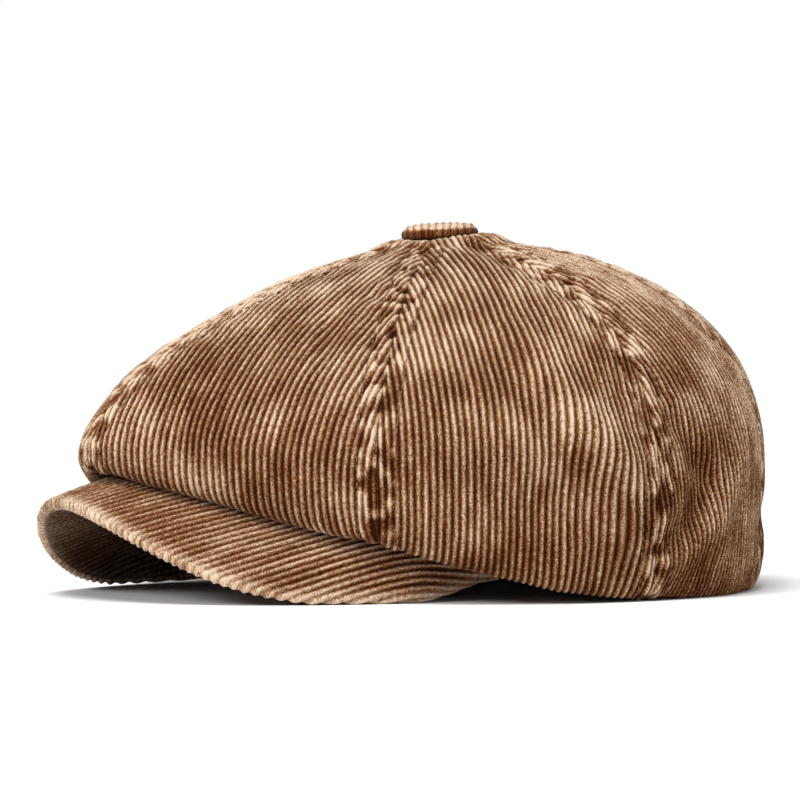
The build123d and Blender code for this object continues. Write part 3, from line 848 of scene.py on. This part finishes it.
def button_cover():
    """Ribbed cloth drawn over the button and turned in under its rim."""
    r, z, places, foot = button_line()
    turn = np.linspace(0, 2 * pi, BUTTON_COLUMNS, endpoint=False)[None, :]
    x, y = r * np.cos(turn), r * np.sin(turn)
    lateral = x * cos(BUTTON_GRAIN) + y * sin(BUTTON_GRAIN)
    grain = y * cos(BUTTON_GRAIN) - x * sin(BUTTON_GRAIN)
    step_r, step_z = unit_steps(r, z)
    reach = foot + RIBS_PAST_FOOT
    outer = ease(reach, reach - RIBS_FADE, places)
    ridge = wale(lateral + 0.3 * noise(lateral / 6, grain / 8))
    sink = (0.2 * noise(lateral / 3, grain / 3) - BUTTON_WALE_DEPTH * (1 - ridge)) * outer
    r, z = r + step_z * sink, z - step_r * sink
    points = on_button(r, z, turn)
    rings, columns = x.shape
    ids = np.arange(rings * columns).reshape(rings, columns)
    after = np.roll(ids, -1, axis=1)
    quads = np.stack([ids[:-1], ids[1:], after[1:], after[:-1]], axis=-1)
    faces = quads.reshape(-1, 4).tolist()
    faces += [ids[0].tolist(), ids[-1][::-1].tolist()]
    made = new_object("button_cloth", (points.reshape(-1, 3) * MM).tolist(), faces)
    # a paler ring round the shoulder and a random tone, then painted shade on the cloth turned in
    # under the rim
    wear_and_painted_light = 0.30 * bell(np.hypot(x, y) - 12, 4) + 0.3 * noise(x / 4, y / 4) + 0.55
    wear_and_painted_light = wear_and_painted_light * outer - 0.4 * (1 - outer)
    # painted shade on the button's side wall, which also dulls its ribs
    painted_side_shade = ease(BUTTON_WALL_TOP, BUTTON_WALL_FULL, np.broadcast_to(z, x.shape))
    wear_and_painted_light = wear_and_painted_light - 0.95 * painted_side_shade
    shown_ridge = (0.4 + 0.6 * ridge) * (1 - 0.45 * painted_side_shade)
    flat = np.stack([lateral, grain], axis=-1).reshape(-1, 2)
    clothe(made, {"ridge": shown_ridge.ravel(), "wear_and_painted_light": wear_and_painted_light.ravel()}, flat)
    return made


# -- materials --

def node(tree, kind, inputs=None, **settings):
    made = tree.nodes.new("ShaderNode" + kind)
    for key, value in settings.items():
        setattr(made, key, value)
    for key, value in (inputs or {}).items():
        if isinstance(value, bpy.types.NodeSocket):
            tree.links.new(value, made.inputs[key])
        else:
            made.inputs[key].default_value = value
    return made


def math_node(tree, operation, first, second=None):
    inputs = {0: first}
    if second is not None:
        inputs[1] = second
    return node(tree, "Math", inputs, operation=operation).outputs[0]


def ramp(tree, factor, stops):
    made = node(tree, "ValToRGB", {"Fac": factor})
    elements = made.color_ramp.elements
    for k, (position, colour) in enumerate(stops):
        element = elements[k] if k < 2 else elements.new(position)
        element.position = position
        element.color = (*colour, 1)
    return made.outputs["Color"]


def new_material(name, **sockets):
    """A material with a Principled shader, and its node tree."""
    made = bpy.data.materials.new(name)
    made.use_nodes = True
    tree = made.node_tree
    shader = tree.nodes["Principled BSDF"]
    for key, value in sockets.items():
        shader.inputs[key.replace("_", " ")].default_value = value
    return made, tree, shader


def cloth_uv(tree):
    """The cloth's own flat coordinates, in decimetres."""
    return node(tree, "UVMap", uv_map="cloth").outputs["UV"]


def vertex_number(tree, name):
    return node(tree, "Attribute", attribute_name=name).outputs["Fac"]


def clouds(tree, place_in, scale, detail=2.0, roughness=0.5):
    inputs = {"Vector": place_in, "Scale": scale, "Detail": detail, "Roughness": roughness}
    return node(tree, "TexNoise", inputs).outputs["Fac"]


def add_weighted(tree, level, parts):
    for source, weight in parts:
        level = math_node(tree, "ADD", level, math_node(tree, "MULTIPLY", source, weight))
    return level


def colour_by(tree, shader, factor, stops):
    tree.links.new(ramp(tree, factor, stops), shader.inputs["Base Color"])


def bump_by(tree, shader, height, strength, distance):
    inputs = {"Height": height, "Strength": strength, "Distance": distance}
    tree.links.new(node(tree, "Bump", inputs).outputs[0], shader.inputs["Normal"])


# the groove colours CORD_DARK and CORD_DEEP are the cloth's brown darkened further by painted
# shade
CORD_DARK, CORD_DEEP = (0.022, 0.005, 0.0010), (0.088, 0.021, 0.0035)
CORD_MID, CORD_PALE = (0.212, 0.104, 0.046), (0.610, 0.465, 0.335)


def corduroy(name, painted_shade_gain=1.0):
    """Cotton ribs: pale on their worn tops, dark brown in the grooves, part of that darkness being
    painted shade. Its shade factor scales every colour down, giving a copy in painted shade.
    """
    made, tree, shader = new_material(name, Roughness=0.95, Sheen_Weight=0.06, Sheen_Roughness=0.4)
    shader.inputs["Specular IOR Level"].default_value = 0.05
    shader.inputs["Sheen Tint"].default_value = (0.95, 0.75, 0.58, 1)
    flat, ridge, wear_and_painted_light = cloth_uv(tree), vertex_number(tree, "ridge"), vertex_number(tree, "wear_and_painted_light")
    stretched = node(tree, "Mapping", {"Vector": flat, "Scale": (1, 0.6, 1)}).outputs[0]
    tufts, fine = clouds(tree, stretched, 95.0, 3.0, 0.7), clouds(tree, flat, 190.0)
    # darker towards the grooves, with painted shade in them
    level = math_node(tree, "MULTIPLY", ridge, 0.70)
    spread = [math_node(tree, "SUBTRACT", source, 0.5) for source in (tufts, fine)]
    level = add_weighted(tree, level, zip(spread, (1.0, 1.25)))
    # the vertex numbers add rubbed pile, random tone, and painted light and shade
    bright = math_node(tree, "MULTIPLY", wear_and_painted_light, 0.40)
    level = math_node(tree, "ADD", level, math_node(tree, "ADD", bright, 0.06))
    stops = [(0.0, CORD_DARK), (1.0, CORD_PALE), (0.26, CORD_DEEP), (0.58, CORD_MID)]
    stops = [(at, tuple(painted_shade_gain * c for c in colour)) for at, colour in stops]
    colour_by(tree, shader, level, stops)
    bump_by(tree, shader, math_node(tree, "ADD", tufts, fine), 1.0, 0.0006)
    return made


def woven(name, dark, light, pitch, roughness, slant=0.0, sheen=0.1):
    """Plain or twilled cloth: two sets of threads, with uneven colour."""
    made, tree, shader = new_material(name, Roughness=roughness, Sheen_Weight=sheen)
    flat = cloth_uv(tree)
    turned = node(tree, "Mapping", {"Vector": flat, "Rotation": (0, 0, slant)}).outputs[0]
    scale = 2 * pi / 20 / (pitch * MM * 10)  # one band in each pitch
    settings = {"Vector": turned, "Scale": scale, "Distortion": 0.6, "Detail": 1.0}
    warp = node(tree, "TexWave", settings, bands_direction="X").outputs["Fac"]
    weft = node(tree, "TexWave", settings, bands_direction="Y").outputs["Fac"]
    threads = math_node(tree, "MAXIMUM", warp, math_node(tree, "MULTIPLY", weft, 0.8))
    level = math_node(tree, "MULTIPLY", threads, 0.5)
    # the vertex numbers add painted light and shade that follow the cloth's relief
    parts = ((clouds(tree, flat, 6.0, 4.0), 0.6), (vertex_number(tree, "wear_and_painted_light"), 0.12))
    level = add_weighted(tree, level, parts)
    colour_by(tree, shader, level, [(0.2, dark), (0.9, light)])
    bump_by(tree, shader, threads, 0.5, 0.0002)
    return made


def moulded(name, dark, light, scale, metallic, roughness):
    """Metal or plastic with uneven, slightly scratched surfaces."""
    made, tree, shader = new_material(name, Metallic=metallic)
    place_in = node(tree, "TexCoord").outputs["Object"]
    drawn = node(tree, "Mapping", {"Vector": place_in, "Scale": (1, 1, 9)}).outputs[0]
    lines = clouds(tree, drawn, 5 * scale, 3.0)
    colour_by(tree, shader, clouds(tree, place_in, scale, 5.0), [(0.3, dark), (0.7, light)])
    settings = {"Value": lines, "To Min": roughness - 0.1, "To Max": roughness + 0.15}
    rough = node(tree, "MapRange", settings)
    tree.links.new(rough.outputs[0], shader.inputs["Roughness"])
    bump_by(tree, shader, lines, 0.3, 0.00005)
    return made


def sewing_thread():
    made, tree, shader = new_material("thread", Roughness=0.85)
    place_in = node(tree, "TexCoord").outputs["Object"]
    stops = [(0.3, (0.085, 0.036, 0.013)), (0.7, (0.26, 0.14, 0.068))]
    colour_by(tree, shader, clouds(tree, place_in, 1500.0), stops)
    return made


def paint(made, material):
    made.data.materials.clear()
    made.data.materials.append(material)


# -- camera and studio --

CAMERA_AZIMUTH, CAMERA_ELEVATION = radians(55.5), radians(0.6)
CAMERA_DISTANCE = 1.5
CAMERA_LENS, SENSOR_WIDTH = 168.75, 36.0
TARGET_HEIGHT, AIM_LEFT, AIM_UP = 0.070, 0.016, 0.0046
SUN_STRENGTH, SUN_WIDTH = 3.1, radians(30)
KEY_SIZE, KEY_POWER = 0.5, 16
FILL_SIZE, FILL_POWER = 0.8, 6
WORLD_LIGHT, WORLD_SEEN = 0.42, 1.0  # as a light, and as the camera sees it
FLOOR_HALF, FLOOR_GREY = 3.0, 0.93


def camera_axes():
    """The camera's right, up and backward directions."""
    azimuth, elevation = CAMERA_AZIMUTH, CAMERA_ELEVATION
    right = Vector((cos(azimuth), sin(azimuth), 0))
    back = Vector((sin(azimuth) * cos(elevation), -cos(azimuth) * cos(elevation), sin(elevation)))
    return right, back.cross(right), back


def point_along(made, direction):
    """Turns a camera or light to face a direction."""
    made.rotation_mode = "QUATERNION"
    made.rotation_quaternion = direction.to_track_quat("-Z", "Y")


def camera():
    right, up, back = camera_axes()
    target = Vector((0, AXIS_Y * MM, TARGET_HEIGHT))
    aim = target - right * AIM_LEFT + up * AIM_UP
    data = bpy.data.cameras.new("camera")
    data.lens = CAMERA_LENS
    data.sensor_width = SENSOR_WIDTH
    made = add_object("camera", data)
    made.location = target + back * CAMERA_DISTANCE
    point_along(made, aim - made.location)
    bpy.context.scene.camera = made


def area_light(name, location, aim, size, power):
    data = bpy.data.lights.new(name, "AREA")
    data.shape = "DISK"
    data.size = size
    data.energy = power
    made = add_object(name, data)
    made.location = location
    point_along(made, aim - location)


def sun(direction, strength, width):
    """A soft distant light, which lights the whole floor evenly."""
    data = bpy.data.lights.new("sun", "SUN")
    data.energy = strength
    data.angle = width
    point_along(add_object("sun", data), -direction)


def studio():
    right, _, back = camera_axes()
    middle = Vector((0, 0, 0.06))
    sun(back * 0.80 - right * 0.30 + Vector((0, 0, 1.7)), SUN_STRENGTH, SUN_WIDTH)
    key_place = middle + back * 1.2 - right * 1.1 + Vector((0, 0, 0.8))
    fill_place = middle + back * 1.5 + right * 1.0 + Vector((0, 0, 0.5))
    area_light("key", key_place, middle, KEY_SIZE, KEY_POWER)
    area_light("fill", fill_place, middle, FILL_SIZE, FILL_POWER)
    world = bpy.data.worlds.new("studio")
    bpy.context.scene.world = world
    world.use_nodes = True
    tree = world.node_tree
    seen = node(tree, "LightPath").outputs["Is Camera Ray"]
    settings = {"Value": seen, "To Min": WORLD_LIGHT, "To Max": WORLD_SEEN}
    strength = node(tree, "MapRange", settings).outputs[0]
    background = tree.nodes["Background"]
    background.inputs["Color"].default_value = (1, 1, 1, 1)
    tree.links.new(strength, background.inputs["Strength"])
    white = (FLOOR_GREY, FLOOR_GREY, FLOOR_GREY, 1)
    floor_material, _, _ = new_material("floor_white", Base_Color=white, Roughness=0.6)
    half = FLOOR_HALF
    corners = [(-half, -half, 0), (half, -half, 0), (half, half, 0), (-half, half, 0)]
    floor = new_object("floor", corners, [(0, 1, 2, 3)])
    paint(floor, floor_material)
    bpy.context.scene.view_settings.view_transform = "Standard"


# -- make --


def follow(piece, y_min):
    """Cloth ahead of the ears keeps its place with its transform baked in, and the rest rides on
    the crown.
    """
    if y_min < 0:
        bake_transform(piece)
    else:
        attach(piece, "crown")


def dress(made, material, node_name):
    """Paints a piece and hides the CAD node that it replaces."""
    paint(made, material)
    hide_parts(node_name)


def make_crown():
    cloth, thread = corduroy("corduroy_crown"), sewing_thread()
    rows = {"front": [], "rear": []}
    for name, start, end in panel_names():
        panel, surface, lines = crown_panel("panel_" + name, start, end)
        dress(panel, cloth, "crown_panel_" + name)
        lowest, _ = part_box("crown_panel_" + name)
        follow(panel, lowest.y)
        part = "front" if lowest.y < 0 else "rear"
        rows[part] += [seam_path(*line) for line in lines]
    for part, paths in rows.items():
        rows_piece = stitches("topstitching_" + part, paths)
        paint(rows_piece, thread)
        follow(rows_piece, -1.0 if part == "front" else 1.0)


def make_inside():
    satin = woven("satin", (0.020, 0.009, 0.004), (0.095, 0.045, 0.020), pitch=0.35,
                  roughness=0.32, sheen=0.3)
    for name, start, end in panel_names():
        gore, surface = lining_gore(name, start, end)
        dress(gore, satin, "lining_gore_" + name)
        follow(gore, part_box("lining_gore_" + name)[0].y)

    end = ELASTIC_ANGLE
    inset = STIFFENER_THICKNESS + BAND_GAP
    band = band_strip("sweatband_cloth", -end, end, inset, 0.0, SWEATBAND_HEIGHT,
                      SWEATBAND_THICKNESS, SWEATBAND_COLUMNS, sweatband_relief)
    elastic = band_strip("elastic_cloth", end, 2 * pi - end, inset, 0.0, SWEATBAND_HEIGHT,
                         SWEATBAND_THICKNESS, ELASTIC_COLUMNS, gathers)
    tape = band_strip("stiffener", -STIFFENER_END, STIFFENER_END, 0.0, STIFFENER_LIFT,
                      STIFFENER_HEIGHT, STIFFENER_THICKNESS, STIFFENER_COLUMNS, no_relief)
    twill = woven("twill", (0.030, 0.014, 0.007), (0.150, 0.080, 0.042), pitch=0.8,
                  roughness=0.75, slant=radians(40))
    rib = woven("gathered_cotton", (0.035, 0.016, 0.008), (0.170, 0.090, 0.048), pitch=0.6,
                roughness=0.8)
    canvas = woven("tape", (0.38, 0.33, 0.25), (0.72, 0.66, 0.54), pitch=0.9, roughness=0.85)
    for strip, cloth, node_name, slot_name in (
            (band, twill, "sweatband", "sweatband_cloth"),
            (elastic, rib, "sweatband_elastic", "elastic_cloth"),
            (tape, canvas, "headband_stiffener", "stiffener_tape")):
        made, surface, _, _ = strip
        dress(made, cloth, node_name)
        follow(made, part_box(node_name)[0].y)
    _, _, face, normals = band
    seams = [(face[row], normals[row]) for row in (2, -3)]
    band_seams = stitches("sweatband_stitching", seams)
    paint(band_seams, sewing_thread())
    follow(band_seams, -1.0)


def make_button():
    cover = button_cover()
    dress(cover, corduroy("corduroy_button"), "button_cover")
    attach(cover, "button")


def finish_hardware():
    """Materials for the CAD nodes that stay: button, shank, washer and board."""
    steel = moulded("plated_steel", (0.42, 0.42, 0.43), (0.62, 0.61, 0.60), 90.0, 1.0, 0.35)
    brass = moulded("tarnished_brass", (0.40, 0.27, 0.12), (0.62, 0.45, 0.20), 90.0, 1.0, 0.35)
    board = moulded("peak_plastic", (0.55, 0.55, 0.52), (0.68, 0.67, 0.63), 30.0, 0.0, 0.5)
    materials = {"button_mould": steel, "button_back_plate": steel, "button_shank": brass,
                 "backing_washer": brass, "peak_board": board}
    for name, material in materials.items():
        paint(frame["nodes"][name], material)


def make_peak():
    top, top_surface = peak_piece("peak_top", PEAK_TOP_ROWS, PEAK_TOP_COLUMNS,
                                  0.0, PEAK_TOP_CLOTH, is_top=True)
    dress(top, corduroy("corduroy_peak"), "peak_top_cover")
    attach(top, "peak")
    under_depth = PEAK_TOP_CLOTH + PEAK_BOARD + PEAK_UNDER_CLOTH
    under, under_surface = peak_piece("peak_under", PEAK_UNDER_ROWS, PEAK_UNDER_COLUMNS,
                                      under_depth, PEAK_UNDER_CLOTH, is_top=False)
    # a copy of the corduroy at half brightness for the peak's underside: painted shade under the
    # peak
    underside = corduroy("corduroy_peak_underside_painted_shade", 0.5)
    dress(under, underside, "peak_under_cover")
    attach(under, "peak")


camera()
studio()
make_crown()
make_inside()
make_peak()
make_button()
finish_hardware()
